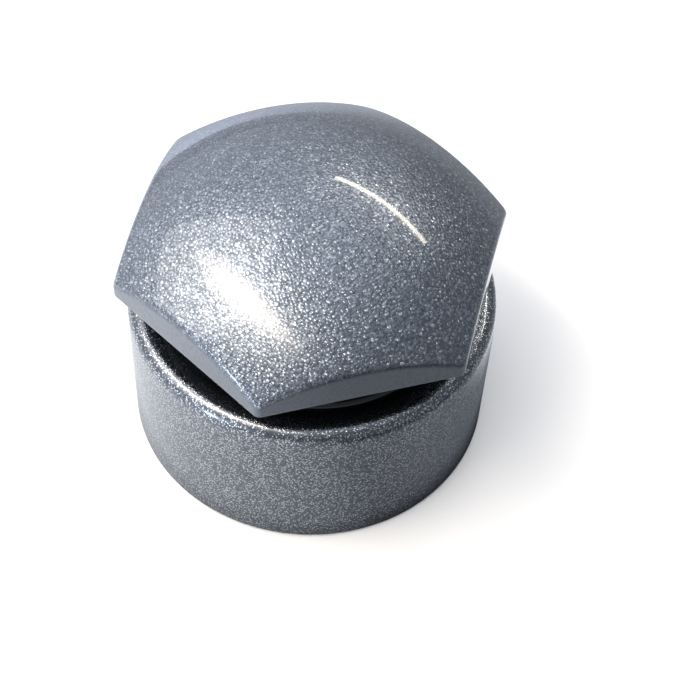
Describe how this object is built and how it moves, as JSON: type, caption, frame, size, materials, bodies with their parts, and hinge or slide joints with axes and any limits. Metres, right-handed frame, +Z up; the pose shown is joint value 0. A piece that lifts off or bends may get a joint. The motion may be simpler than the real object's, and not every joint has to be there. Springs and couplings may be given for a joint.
{
  "type": "wheel nut cover cap",
  "caption": "Push-on cover cap for a hexagonal wheel bolt: round skirt, clip groove and domed hexagonal head, with grip tongues inside.",
  "frame": {"origin": "centre of the rim's plane, on the cap's axis", "axes": "+Z up the axis from the open rim to the dome, +X through two opposite corners of the head"},
  "size_m": [0.024, 0.0226, 0.0195],
  "materials": {
    "painted_plastic": "blue-grey metallic paint under clear coat"
  },
  "bodies": {
    "root": {"cap": "painted_plastic"}
  },
  "joints": []
}
